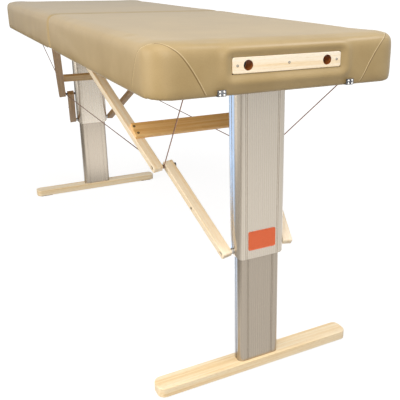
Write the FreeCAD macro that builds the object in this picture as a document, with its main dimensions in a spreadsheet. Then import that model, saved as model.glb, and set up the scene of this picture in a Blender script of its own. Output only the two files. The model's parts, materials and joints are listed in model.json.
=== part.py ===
"""Portable massage table with two electric lifting columns, folding in the middle.

Frame: origin on the floor under the middle of the top, +X towards the end with the
face-rest board (the near end), +Y across the table, +Z up. Millimetres.
Each piece is built for the near half, on the -Y side where it comes in pairs, then
mirrored across the table and to the far half.
"""
import FreeCAD
import Part
import math
import os
import re

Vector = FreeCAD.Vector
X_AXIS = Vector(1, 0, 0)
Y_AXIS = Vector(0, 1, 0)
Z_AXIS = Vector(0, 0, 1)

doc = FreeCAD.newDocument("massage_table")
sheet = doc.addObject("Spreadsheet::Sheet", "dim")
parts = {}

DIMENSIONS = {
    # Upholstered top
    "table_length": 2000,  # length of the top, both halves
    "table_width": 650,  # width of the top
    "table_height": 918,  # floor to the crown of the top, columns as photographed
    "top_depth": 114,  # height of the upholstered side
    "fold_gap": 1.5,  # gap between the two halves
    "corner_round": 62,  # plan radius of the outer corners
    "edge_round": 20,  # rounding of the top edge of the padding
    "edge_round_fold": 8,  # rounding of the top edge at the fold
    "crown": 2,  # rise of the padding from the rounded edge to the flat top
    "crown_run": 110,  # distance over which the padding rises
    "hem_tuck": 4,  # how far the cover draws in at its lower hem
    "hem_rise": 12,  # height over which it draws in
    "side_skirt": 9,  # cover and wadding outside the side rails
    "end_skirt": 15,  # cover and wadding outside the end rail
    "fold_skirt": 7.25,  # cover and wadding outside the fold rail
    # Wooden frame of each half
    "rail_depth": 78,  # height of the rails
    "side_rail": 17,  # thickness of the side rails
    "end_rail": 20,  # thickness of the end rail
    "fold_rail": 20,  # thickness of the rail at the fold
    "deck_thick": 6,  # plywood deck
    "frame_round": 45,  # plan radius of the frame's outer corners
    "mount_board": 12,  # thickness of the board that carries the column
    "mount_board_run": 74,  # length of that board along the table
    # Lifting column
    "column_from_end": 148,  # centre of the column from the end of the top
    "tube_wide": 141,  # outer tube across the table
    "tube_thick": 60,  # outer tube along the table
    "tube_round": 20,  # corner radius of the outer tube
    "tube_wall": 3,  # wall of the outer tube
    "tube_foot": 361,  # lower end of the outer tube above the floor
    "stem_gap": 6,  # room between the tubes, filled by the glide collar
    "stem_round": 15,  # corner radius of the inner tube
    "stem_wall": 3,  # wall of the inner tube
    "stem_overlap": 92,  # inner tube inside the outer one at full height
    "groove_wide": 1.6,  # width of the grooves along the tubes
    "groove_deep": 0.9,  # depth of the grooves
    "groove_inset": 23,  # outer groove from the side of the tube
    "groove_pitch": 4,  # spacing of the two grooves at each side
    "side_groove_wide": 3,  # width of the groove in the middle of each narrow face
    "side_groove_deep": 1.2,  # depth of that groove
    "collar_lip": 18,  # glide collar seen below the outer tube
    "collar_plug": 30,  # glide collar inside the outer tube
    "collar_round": 14,  # rounding of the collar's lower corners
    "shadow_gap": 3,  # rebate round the inner tube at the mouth of the collar
    "shadow_deep": 8,  # depth of that rebate
    "glide": 0.3,  # gap between faces that slide or turn past each other
    "plug_gap": 0.15,  # clearance of blocks fixed inside the tubes
    # Column drive
    "motor_gap": 2,  # gear motor clear of the outer tube
    "motor_tall": 88,  # gear motor height
    "screw_radius": 7,  # lead screw
    "screw_gap": 0.1,  # running clearance of the nut on the screw
    "screw_tail": 3,  # lead screw below the nut at full height
    "nut_spigot": 20,  # nut block inside the inner tube
    "nut_flange": 10,  # flange of the nut block on the inner tube
    # Column pivot under the top
    "pivot_rise": 8,  # pivot of the column above the underside of the top
    "pivot_radius": 6,  # pivot pin
    "pivot_gap": 0.05,  # running clearance of the pin
    "tube_above_pivot": 26,  # outer tube above its pivot
    "plug_below_pivot": 12,  # head block below the pivot
    "cheek_gap": 0.4,  # column clear of the cheeks
    "cheek_thick": 5,  # cheeks of the pivot bracket
    "cheek_run": 40,  # cheek along the table
    "bracket_base": 4,  # base plate of the bracket
    "bracket_base_run": 64,  # base plate along the table
    "pin_over": 3.6,  # pin beyond the cheeks
    # Foot
    "foot_length": 592,  # foot across the table
    "foot_wide": 59,  # foot along the table
    "foot_thick": 26,  # wood of the foot
    "foot_round": 20,  # plan radius of the foot's corners
    "foot_ease": 3,  # eased top edges of the foot
    "pad_thick": 4,  # rubber pads under the foot
    "pad_wide": 46,  # rubber pad along the table
    "pad_long": 60,  # rubber pad across the table
    "pad_round": 10,  # corner radius of the rubber pads
    "pad_inset": 12,  # rubber pad from the end of the foot
    "base_block": 20,  # steel block in the lower end of the inner tube
    # Folding brace: straight from ankle to hip when open, flat under the deck when folded
    "ankle_rise": 1,  # lower pivot of the brace above the foot of the outer tube
    "hip_x": 152,  # upper pivot of the brace from the middle of the table
    "hip_rise": 50,  # upper pivot above the underside of the top
    "fold_slope": 0.00873,  # slope of the folded upper strut
    "ankle_stand": 21.5,  # middle of the lower strut from the side of the column
    "knee_in_y": 144,  # lower strut from the centre line at the knee
    "knee_gap": 8,  # gap between the lower and upper struts at the knee
    "hip_stand": 20,  # middle of the upper strut from the side rail at its pivot
    "strut_wide": 28,  # struts across the table
    "strut_deep": 20,  # struts in the plane of the fold
    "strut_over": 12,  # strut beyond its pivot
    "strut_nose": 5,  # rounding of the strut ends
    "strut_ease": 2,  # eased edges of the struts
    "bolt_radius": 4,  # pivot bolts of the brace
    "bolt_gap": 0.1,  # running clearance of the bolts
    "bolt_head": 6,  # radius of the bolt heads
    "head_gap": 0.5,  # recess clear of the bolt head it holds
    "bolt_bed": 8,  # seat of a recessed head from the middle of the strut
    "spacer_radius": 7.5,  # spacers on the pivot bolts
    "bolt_head_tall": 3,  # height of the bolt heads
    "bolt_stand": 3,  # bolt heads clear of the splayed strut face
    "hip_collar_gap": 1.9,  # shoulder of the hip bolt clear of the strut
    "hip_bolt_depth": 12,  # hip bolt inside the side rail
    "crossbar_wide": 53,  # crossbar along the struts
    "crossbar_thick": 10,  # crossbar thickness
    "crossbar_from_knee": 127,  # middle of the crossbar from the knee, along the struts
    "crossbar_half": 211,  # half length of the crossbar
    "crossbar_ease": 1.5,  # eased edges of the crossbar
    # Cable truss
    "cable_radius": 1.5,  # steel cable
    "cable_stand": 3.3,  # cable from the side of the lower strut at the knee
    "anchor_y": 222,  # cable anchor from the centre line
    "anchor_rise": 30,  # cable anchor above the underside of the top
    "anchor_reach": 12,  # ball of the anchor in front of the rail
    "anchor_ball": 6,  # ball of the anchor
    "anchor_shank": 3,  # shank of the anchor
    # Hinges at the fold, catches and face-rest board
    "hinge_y": 220,  # fold hinge from the centre line
    "hinge_wide": 60,  # fold hinge across the table
    "leaf_run": 27,  # hinge leaf along the table
    "leaf_thick": 2.5,  # hinge leaf
    "barrel_drop": 5,  # axis of the hinge below the rails
    "barrel_radius": 4,  # hinge barrel
    "hinge_pin": 2.5,  # hinge pin
    "catch_y": 167,  # catch from the centre line
    "catch_side": 20,  # width of the catch plate
    "catch_tall": 14,  # height of the catch plate
    "catch_steel": 2,  # steel of the catch
    "catch_tongue": 34,  # tongue of the catch under the rail
    "catch_boss": 2.6,  # radius of the four bosses on the catch
    "catch_boss_tall": 1.5,  # height of the bosses
    "board_long": 280,  # face-rest board across the table
    "board_tall": 35,  # face-rest board height
    "board_thick": 13,  # face-rest board thickness
    "board_drop": 54,  # middle of the board below the crown of the top
    "board_round": 5,  # corner radius of the board
    "board_ease": 1.5,  # eased front edge of the board
    "board_room": 1,  # padding clear of the board
    "rest_spacing": 204,  # spacing of the face-rest bores
    "rest_bore": 11.5,  # radius of the face-rest bores
    # Control box under the deck, between the column and the end rail
    "box_gap": 3,  # control box clear of the end rail
    "box_long": 64,  # control box along the table
    "box_wide": 160,  # control box across the table
    "box_tall": 54,  # control box height
    "box_wall": 3,  # walls of the control box
    "box_round": 8,  # corner radius of the control box
    "inlet_wide": 28,  # mains inlet across the table
    "inlet_long": 22,  # mains inlet along the table
    "inlet_deep": 18,  # mains inlet depth
    "inlet_rim": 3,  # rim of the mains inlet
}

# Places and lengths that follow from them, among them the knee that lets the column fold flat
DERIVED = {
    "underside": "table_height - top_depth",  # underside of the top
    "column_x": "table_length / 2 - column_from_end",  # centre of the column from the middle
    "stem_wide": "tube_wide - 2 * (tube_wall + stem_gap)",  # inner tube across the table
    "stem_thick": "tube_thick - 2 * (tube_wall + stem_gap)",  # inner tube along the table
    "motor_radius": "tube_thick / 2 - tube_wall - motor_gap",  # gear motor
    "pivot_z": "underside + pivot_rise",  # pivot of the column above the floor
    "ankle_z": "tube_foot + ankle_rise",  # lower pivot of the brace above the floor
    "hip_z": "underside + hip_rise",  # upper pivot of the brace above the floor
    "rail_inside": "table_width / 2 - side_skirt - side_rail",  # inner face of the side rails
    "ankle_y": "tube_wide / 2 + ankle_stand",  # lower strut from the centre line at the column
    "knee_out_y": "knee_in_y + strut_wide + knee_gap",  # upper strut from the centre line at the knee
    "hip_y": "rail_inside - hip_stand",  # upper strut from the centre line at its pivot
    "cable_knee_y": "knee_in_y + strut_wide / 2 + cable_stand",  # cable from the centre line at the knee
    "anchor_z": "underside + anchor_rise",  # cable anchor above the floor
    "board_z": "table_height - board_drop",  # middle of the face-rest board above the floor
    "end_inside": "table_length / 2 - end_skirt - end_rail",  # inner face of the end rail
    "box_x": "end_inside - box_gap - box_long",  # control box from the middle of the table
    "ankle_drop": "pivot_z - ankle_z",  # ankle below the column's pivot
    "hip_run": "column_x - hip_x",  # hip from the column's pivot along the table
    "hip_lift": "hip_z - pivot_z",  # hip above the column's pivot
    "brace_long": "sqrt(hip_run ^ 2 + (ankle_drop + hip_lift) ^ 2)",  # brace from ankle to hip
    "folded_run": "hip_run - ankle_drop",  # hip to folded ankle along the table
    "slope_long": "sqrt(1 + fold_slope ^ 2)",  # length of the slope per unit run
    "folded_part": "(folded_run - hip_lift * fold_slope) / slope_long",  # folded ankle along the strut
    "brace_rest": "brace_long ^ 2 - folded_run ^ 2 - hip_lift ^ 2",  # area that sets the knee
    "upper_long": "brace_rest / (2 * (brace_long - folded_part))",  # upper strut from knee to hip
    "knee_x": "hip_x + hip_run * upper_long / brace_long",  # knee from the middle of the table
    "knee_z": "hip_z - (ankle_drop + hip_lift) * upper_long / brace_long",  # knee above the floor
}


def fill_sheet():
    """Writes every size into a cell of its own, named by its alias."""
    cells = [(alias, str(value)) for alias, value in DIMENSIONS.items()]
    cells += [(alias, "=" + formula) for alias, formula in DERIVED.items()]
    for row, (alias, content) in enumerate(cells, 1):
        sheet.set(f"A{row}", alias)
        sheet.set(f"B{row}", content)
        sheet.setAlias(f"B{row}", alias)


fill_sheet()
doc.recompute()
ALIASES = [*DIMENSIONS, *DERIVED]
ALIAS_WORD = re.compile(r"\b(" + "|".join(sorted(ALIASES, key=len, reverse=True)) + r")\b")


def bound(text):
    """An expression in which every driving dimension names its cell."""
    return ALIAS_WORD.sub(r"dim.\1", text)


def mm(text):
    """The present value of an expression of driving dimensions."""
    return float(sheet.evalExpression(bound(text)))


# Heights and faces that several pieces share
UNDERSIDE = "underside"
RAIL_TOP = f"({UNDERSIDE} + rail_depth)"
DECK_TOP = f"({RAIL_TOP} + deck_thick)"
FOLD_FACE = "(fold_gap / 2)"
FRAME_FOLD = f"({FOLD_FACE} + fold_skirt)"
FOLD_INSIDE = f"({FRAME_FOLD} + fold_rail)"
FRAME_END = "(table_length / 2 - end_skirt)"
END_INSIDE = "end_inside"
FRAME_SIDE = "(table_width / 2 - side_skirt)"
RAIL_INSIDE = "rail_inside"
FOOT_TOP = "(pad_thick + foot_thick)"
TUBE_TOP = "(pivot_z + tube_above_pivot)"
STEM_TOP = "(tube_foot + stem_overlap)"
MOTOR_TOP = "(pivot_z - plug_below_pivot)"
MOTOR_FOOT = f"({MOTOR_TOP} - motor_tall)"
BORE_WIDE = "(tube_wide - 2 * tube_wall)"
BORE_THICK = "(tube_thick - 2 * tube_wall)"
BORE_ROUND = "(tube_round - tube_wall)"


def block(name, x, y, z):
    """A box between pairs of expressions along each axis."""
    box = doc.addObject("Part::Box", name)
    for side, letter, (low, high) in (("Length", "x", x), ("Width", "y", y), ("Height", "z", z)):
        box.setExpression(side, bound(f"({high}) - ({low})"))
        box.setExpression(f"Placement.Base.{letter}", bound(low))
    return box


def rod(name, radius, axis, start, length):
    """A cylinder from a start point (three expressions) along +X, +Y or +Z."""
    turns = {
        "x": FreeCAD.Rotation(Y_AXIS, 90),
        "y": FreeCAD.Rotation(X_AXIS, -90),
        "z": FreeCAD.Rotation(),
    }
    cylinder = doc.addObject("Part::Cylinder", name)
    cylinder.Placement = FreeCAD.Placement(Vector(), turns[axis])
    cylinder.setExpression("Radius", bound(radius))
    cylinder.setExpression("Height", bound(length))
    for letter, value in zip("xyz", start):
        cylinder.setExpression(f"Placement.Base.{letter}", bound(value))
    return cylinder


def centred(middle, width):
    """The two ends of a width about a middle, as expressions."""
    return (f"{middle} - ({width}) / 2", f"{middle} + ({width}) / 2")


def rounded(source, radius, chosen):
    """The source with the edges that chosen accepts rounded."""
    doc.recompute()
    fillet = doc.addObject("Part::Fillet", source.Name + "_rounded")
    fillet.Base = source
    reach = mm(radius)
    numbers = [number for number, edge in enumerate(source.Shape.Edges, 1) if chosen(edge)]
    fillet.Edges = [(number, reach, reach) for number in numbers]
    return fillet


def runs_along(axis):
    """A test for straight edges along an axis."""

    def test(edge):
        if not isinstance(edge.Curve, Part.Line):
            return False
        return abs(edge.tangentAt(edge.FirstParameter).dot(axis)) > 0.999

    return test


def upright(name, radius, x, y, z):
    """A box with rounded upright edges."""
    return rounded(block(name, x, y, z), radius, runs_along(Z_AXIS))


def cut(base, *tools):
    """The base with each tool taken out of it."""
    for tool in tools:
        result = doc.addObject("Part::Cut", base.Name + "_cut")
        result.Base = base
        result.Tool = tool
        base = result
    return base


def fuse(name, *pieces):
    """One solid of several."""
    result = doc.addObject("Part::MultiFuse", name)
    result.Shapes = list(pieces)
    result.Refine = True
    return result


def common(base, tool):
    """What the base shares with the tool."""
    result = doc.addObject("Part::Common", base.Name + "_trimmed")
    result.Base = base
    result.Tool = tool
    return result


def mirrored(source, normal):
    """The source mirrored in the plane through the origin with that normal."""
    mirror = doc.addObject("Part::Mirroring", source.Name + "_mirror")
    mirror.Source = source
    mirror.Normal = normal
    return mirror


def group(name, *pieces):
    """Separate solids in one node."""
    result = doc.addObject("Part::Compound", name)
    result.Links = list(pieces)
    return result


def pair(name, piece):
    """The piece and its mirror image across the table."""
    return group(name, piece, mirrored(piece, Y_AXIS))


def node(label, piece):
    """Names a finished piece."""
    piece.Label = label
    parts[label] = piece


def both_halves(name, piece):
    """The near piece, and the same piece on the far half."""
    node("near_" + name, piece)
    node("far_" + name, mirrored(piece, X_AXIS))


def solid_feature(name, shape):
    """A piece whose shape is worked out below from the sheet."""
    feature = doc.addObject("Part::Feature", name)
    feature.Shape = shape
    return feature


def half_outline(inset, inset_fold, height):
    """Plan outline of one half of the padding: round outer corners, tight ones at the fold."""
    fold = mm(FOLD_FACE) + inset_fold
    end = mm("table_length / 2") - inset
    side = mm("table_width / 2") - inset
    outer = mm("corner_round") - min(inset, mm("edge_round"))
    tight = mm("edge_round_fold / 2")
    corners = ((end, -side, outer), (end, side, outer), (fold, side, tight), (fold, -side, tight))
    points = [Vector(x, y, height) for x, y, _ in corners]
    arcs = []
    for index, corner in enumerate(points):
        radius = corners[index][2]
        back = (points[index - 1] - corner).normalize()
        onward = (points[(index + 1) % len(points)] - corner).normalize()
        centre = corner + (back + onward) * radius
        middle = centre - (back + onward).normalize() * radius
        arcs.append(Part.Arc(corner + back * radius, middle, corner + onward * radius))
    edges = []
    for index, arc in enumerate(arcs):
        following = arcs[(index + 1) % len(arcs)]
        edges.append(arc.toShape())
        edges.append(Part.LineSegment(arc.EndPoint, following.StartPoint).toShape())
    return Part.Wire(edges)


def padding_shape():
    """Crowned padding with a rounded top edge and a hem drawn in below."""
    low = mm(UNDERSIDE)
    crown = mm("crown")
    shoulder = mm("table_height") - crown
    edge = mm("edge_round")
    edge_fold = mm("edge_round_fold")
    tuck = mm("hem_tuck")
    run = mm("crown_run")
    sections = [half_outline(tuck, tuck / 4, low), half_outline(0, 0, low + mm("hem_rise"))]
    for step in range(5):
        turn = math.radians(22.5 * step)
        shrink = 1 - math.cos(turn)
        rise = shoulder - edge * (1 - math.sin(turn))
        sections.append(half_outline(edge * shrink, edge_fold * shrink, rise))
    sections.append(half_outline(edge + run / 2, edge_fold + run / 8, shoulder + crown * 0.75))
    sections.append(half_outline(edge + run, edge_fold + run / 4, shoulder + crown))
    return Part.makeLoft(sections, True, True)


def top_half():
    """Padding, deck, rails and the board that carries the column."""
    whole_width = (f"-{FRAME_SIDE}", FRAME_SIDE)
    rail_height = (UNDERSIDE, RAIL_TOP)
    core = block("core", (FRAME_FOLD, FRAME_END), whole_width, (UNDERSIDE, DECK_TOP))

    def outer_corner(edge):
        return runs_along(Z_AXIS)(edge) and edge.CenterOfMass.x > mm("table_length / 4")

    core = rounded(core, "frame_round", outer_corner)
    plain_padding = cut(solid_feature("padding", padding_shape()), core)
    pocket = block(
        "board_pocket",
        (FRAME_END, "table_length / 2"),
        centred("0", "board_long + 2 * board_room"),
        centred("board_z", "board_tall + 2 * board_room"),
    )
    node("near_pad", cut(plain_padding, pocket))
    node("far_pad", mirrored(plain_padding, X_AXIS))

    deck = block("deck_blank", (FRAME_FOLD, FRAME_END), whole_width, (RAIL_TOP, DECK_TOP))
    both_halves("deck", common(deck, core))

    left_side = (f"-{FRAME_SIDE}", f"-{RAIL_INSIDE}")
    side = common(block("side_rail_blank", (FOLD_INSIDE, END_INSIDE), left_side, rail_height), core)
    hip_start = ("hip_x", f"-{RAIL_INSIDE} - hip_bolt_depth", "hip_z")
    hip_hole = rod("side_rail_hole", "bolt_radius + bolt_gap", "y", hip_start, "hip_bolt_depth")
    both_halves("side_rails", pair("side_rails", cut(side, hip_hole)))

    end = common(block("end_rail_blank", (END_INSIDE, FRAME_END), whole_width, rail_height), core)
    bored = end
    for name, sign in (("rail_bore_left", "-"), ("rail_bore_right", "")):
        start = (END_INSIDE, f"{sign}rest_spacing / 2", "board_z")
        bored = cut(bored, rod(name, "rest_bore", "x", start, "end_rail"))
    node("near_end_rail", bored)
    node("far_end_rail", mirrored(end, X_AXIS))

    fold = block("fold_rail_blank", (FRAME_FOLD, FOLD_INSIDE), whole_width, rail_height)
    mount = block(
        "mount_board_blank",
        centred("column_x", "mount_board_run"),
        (f"-{RAIL_INSIDE}", RAIL_INSIDE),
        (f"{RAIL_TOP} - mount_board", RAIL_TOP),
    )
    both_halves("cross_boards", group("cross_boards", fold, mount))


def face_rest():
    """Wooden board let into the padding of the near end, with two bores for a face rest."""
    along = (FRAME_END, f"{FRAME_END} + board_thick")
    board = block("board_blank", along, centred("0", "board_long"), centred("board_z", "board_tall"))
    board = rounded(board, "board_round", runs_along(X_AXIS))

    def at_front(edge):
        return edge.CenterOfMass.x > mm(f"{FRAME_END} + board_thick - board_ease")

    board = rounded(board, "board_ease", at_front)
    for name, sign in (("board_bore_left", "-"), ("board_bore_right", "")):
        start = (FRAME_END, f"{sign}rest_spacing / 2", "board_z")
        board = cut(board, rod(name, "rest_bore", "x", start, "board_thick"))
    node("face_rest_board", board)


def catches():
    """Plated catches at the lower edge of each end, on a tongue under the end rail."""
    face = "(table_length / 2)"
    front = f"({face} + catch_steel)"
    low = f"({UNDERSIDE} - catch_steel)"
    across = centred("-catch_y", "catch_side")
    plate = block("catch_plate", (face, front), across, (low, f"{low} + catch_tall"))
    tongue = block("catch_tongue_blank", (f"{face} - catch_tongue", front), across, (low, UNDERSIDE))
    bosses = []
    for row in (1, 3):
        for column in (1, 3):
            start = (
                front,
                f"-catch_y - catch_side / 2 + catch_side * {column} / 4",
                f"{low} + catch_tall * {row} / 4",
            )
            bosses.append(rod(f"catch_boss_{row}{column}", "catch_boss", "x", start, "catch_boss_tall"))
    both_halves("catches", pair("catches", fuse("catch", plate, tongue, *bosses)))


def grooves(name, wide, thick, z):
    """Room of the grooves: two near each side of both broad faces, one along each narrow face."""
    front = f"(column_x + {thick} / 2)"
    back = f"(column_x - {thick} / 2)"
    side = f"(-{wide} / 2)"
    narrow = centred("column_x", "side_groove_wide")
    room = [block(f"{name}_side_groove", narrow, (side, f"{side} + side_groove_deep"), z)]
    for order in (0, 1):
        middle = f"-({wide} / 2 - groove_inset - {order} * groove_pitch)"
        across = centred(middle, "groove_wide")
        room.append(block(f"{name}_front_groove", (f"{front} - groove_deep", front), across, z))
        room.append(block(f"{name}_back_groove", (back, f"{back} + groove_deep"), across, z))
    return pair(name + "_grooves", group(name + "_groove_side", *room))


def tube(name, wide, thick, radius, wall, z):
    """A rounded box section with fine grooves along it."""
    outside = upright(name + "_blank", radius, centred("column_x", thick), centred("0", wide), z)
    inside = upright(
        name + "_inside",
        f"{radius} - {wall}",
        centred("column_x", f"{thick} - 2 * {wall}"),
        centred("0", f"{wide} - 2 * {wall}"),
        z,
    )
    return cut(outside, inside, grooves(name, wide, thick, z))


def columns():
    """Outer tube, head block, pivot pin, drive and glide collar of the columns."""
    outer = tube("outer", "tube_wide", "tube_thick", "tube_round", "tube_wall", ("tube_foot", TUBE_TOP))
    start = ("column_x", "-tube_wide / 2", "pivot_z")
    cross_hole = rod("cross_hole", "pivot_radius + pivot_gap", "y", start, "tube_wide")
    both_halves("outer_tube", cut(outer, cross_hole))

    inside_along = centred("column_x", f"{BORE_THICK} - 2 * plug_gap")
    inside_across = centred("0", f"{BORE_WIDE} - 2 * plug_gap")
    inside_round = f"{BORE_ROUND} - plug_gap"
    head = upright("head_blank", inside_round, inside_along, inside_across, (MOTOR_TOP, TUBE_TOP))
    both_halves("column_head", cut(head, cross_hole))

    pin_half = "(tube_wide / 2 + cheek_gap + cheek_thick + pin_over)"
    pin = rod("pivot_pin", "pivot_radius", "y", ("column_x", f"-{pin_half}", "pivot_z"), f"2 * {pin_half}")
    both_halves("pivot_pin", pin)

    lip_height = ("tube_foot - collar_lip", "tube_foot")
    along = centred("column_x", "tube_thick")
    across = centred("0", "tube_wide")
    plan = upright("collar_plan", "tube_round", along, across, lip_height)

    def lower_side(edge):
        return runs_along(X_AXIS)(edge) and edge.CenterOfMass.z < mm("tube_foot - collar_lip / 2")

    lip = common(plan, rounded(block("collar_side", along, across, lip_height), "collar_round", lower_side))
    plug_height = ("tube_foot", "tube_foot + collar_plug")
    plug = upright("collar_plug_blank", inside_round, inside_along, inside_across, plug_height)
    passage = upright(
        "collar_passage",
        "stem_round + glide",
        centred("column_x", "stem_thick + 2 * glide"),
        centred("0", "stem_wide + 2 * glide"),
        ("tube_foot - collar_lip", "tube_foot + collar_plug"),
    )
    rebate = upright(
        "collar_rebate",
        "stem_round + shadow_gap",
        centred("column_x", "stem_thick + 2 * shadow_gap"),
        centred("0", "stem_wide + 2 * shadow_gap"),
        ("tube_foot - collar_lip", "tube_foot - collar_lip + shadow_deep"),
    )
    lip = cut(lip, grooves("collar", "tube_wide", "tube_thick", lip_height))
    both_halves("glide_collar", cut(fuse("collar", lip, plug), passage, rebate))

    motor_start = ("column_x", "0", MOTOR_FOOT)
    both_halves("gear_motor", rod("motor", "motor_radius", "z", motor_start, "motor_tall"))
    screw_foot = f"({STEM_TOP} - nut_spigot - screw_tail)"
    screw = rod("screw", "screw_radius", "z", ("column_x", "0", screw_foot), f"{MOTOR_FOOT} - {screw_foot}")
    both_halves("lead_screw", screw)


def column_brackets():
    """Steel bracket under the top whose two cheeks carry the column's pivot pin."""
    base_top = f"({RAIL_TOP} - mount_board)"
    base_low = f"({base_top} - bracket_base)"
    cheek_in = "(tube_wide / 2 + cheek_gap)"
    cheek_out = f"({cheek_in} + cheek_thick)"
    base = block(
        "bracket_base_blank",
        centred("column_x", "bracket_base_run"),
        (f"-{cheek_out}", cheek_out),
        (base_low, base_top),
    )
    left = (f"-{cheek_out}", f"-{cheek_in}")
    start = ("column_x", f"-{cheek_out}", "pivot_z")
    web = block("cheek_web", centred("column_x", "cheek_run"), left, ("pivot_z", base_low))
    nose = rod("cheek_nose", "cheek_run / 2", "y", start, "cheek_thick")
    hole = rod("cheek_hole", "pivot_radius + pivot_gap", "y", start, "cheek_thick")
    cheek = cut(fuse("cheek", web, nose), hole)
    both_halves("column_bracket", fuse("bracket", base, cheek, mirrored(cheek, Y_AXIS)))


def lifts():
    """Inner tube, nut, lower block, foot and rubber pads that travel with the lift."""
    stem = tube("stem", "stem_wide", "stem_thick", "stem_round", "stem_wall", (FOOT_TOP, STEM_TOP))
    both_halves("inner_tube", stem)

    inside_along = centred("column_x", "stem_thick - 2 * stem_wall - 2 * plug_gap")
    inside_across = centred("0", "stem_wide - 2 * stem_wall - 2 * plug_gap")
    inside_round = "stem_round - stem_wall - plug_gap"
    spigot_height = (f"{STEM_TOP} - nut_spigot", STEM_TOP)
    spigot = upright("nut_spigot_blank", inside_round, inside_along, inside_across, spigot_height)
    flange = upright(
        "nut_flange_blank",
        f"{BORE_ROUND} - glide",
        centred("column_x", f"{BORE_THICK} - 2 * glide"),
        centred("0", f"{BORE_WIDE} - 2 * glide"),
        (STEM_TOP, f"{STEM_TOP} + nut_flange"),
    )
    start = ("column_x", "0", f"{STEM_TOP} - nut_spigot")
    bore = rod("nut_bore", "screw_radius + screw_gap", "z", start, "nut_spigot + nut_flange")
    both_halves("screw_nut", cut(fuse("nut", spigot, flange), bore))

    base_height = (FOOT_TOP, f"{FOOT_TOP} + base_block")
    base = upright("base_block_blank", inside_round, inside_along, inside_across, base_height)
    both_halves("base_block", base)

    foot_along = centred("column_x", "foot_wide")
    foot_across = centred("0", "foot_length")
    foot = upright("foot_blank", "foot_round", foot_along, foot_across, ("pad_thick", FOOT_TOP))

    def top_edge(edge):
        return edge.BoundBox.ZMin > mm(FOOT_TOP) - 0.01

    both_halves("foot", rounded(foot, "foot_ease", top_edge))
    pad_start = "(pad_inset - foot_length / 2)"
    rubber = upright(
        "rubber_pad",
        "pad_round",
        centred("column_x", "pad_wide"),
        (pad_start, f"{pad_start} + pad_long"),
        ("0", "pad_thick"),
    )
    both_halves("foot_pads", pair("foot_pads", rubber))


def pivot(name):
    """The brace's ankle, knee or hip on the centre plane of the table."""
    places = {
        "ankle": ("column_x", "ankle_z"),
        "knee": ("knee_x", "knee_z"),
        "hip": ("hip_x", "hip_z"),
    }
    x, z = places[name]
    return Vector(mm(x), 0, mm(z))


def strut(name, low, low_y, high, high_y):
    """A straight bar between two pivots on the -Y side, bolted across, the low bolt's head let in."""
    start = pivot(low) - Y_AXIS * mm(low_y)
    finish = pivot(high) - Y_AXIS * mm(high_y)
    along = (finish - start).normalize()
    wide = (Y_AXIS - along * along.dot(Y_AXIS)).normalize()
    deep = along.cross(wide)
    over = mm("strut_over")
    bar = Part.makeBox(start.distanceToPoint(finish) + 2 * over, mm("strut_wide"), mm("strut_deep"))
    bar = bar.makeFillet(mm("strut_nose"), [edge for edge in bar.Edges if runs_along(Y_AXIS)(edge)])
    bar = bar.makeFillet(mm("strut_ease"), [edge for edge in bar.Edges if not runs_along(Y_AXIS)(edge)])
    corner = start - along * over - wide * mm("strut_wide / 2") - deep * mm("strut_deep / 2")
    bar.Placement = FreeCAD.Placement(corner, FreeCAD.Rotation(along, wide, deep, "XYZ"))
    reach = mm("strut_wide")
    for point in (start, finish):
        hole = Part.makeCylinder(mm("bolt_radius + bolt_gap"), 2 * reach, point - Y_AXIS * reach, Y_AXIS)
        bar = bar.cut(hole)
    recess_end = start - Y_AXIS * mm("bolt_bed + strut_wide")
    bar = bar.cut(Part.makeCylinder(mm("bolt_head + head_gap"), reach, recess_end, Y_AXIS))
    return solid_feature(name, bar)


def crossbar_shape():
    """A flat board across the upper face of both upper struts."""
    hip = pivot("hip")
    knee = pivot("knee")
    down = (knee - hip).normalize()
    outward = down.cross(Y_AXIS)
    wide = mm("crossbar_wide")
    half = mm("crossbar_half")
    upper_edge = knee - down * (mm("crossbar_from_knee") + wide / 2)
    corner = upper_edge + outward * mm("strut_deep / 2") - Y_AXIS * half
    bar = Part.makeBox(wide, 2 * half, mm("crossbar_thick"))
    bar = bar.makeFillet(mm("crossbar_ease"), bar.Edges)
    bar.Placement = FreeCAD.Placement(corner, FreeCAD.Rotation(down, Y_AXIS, outward, "XYZ"))
    return bar


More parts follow.
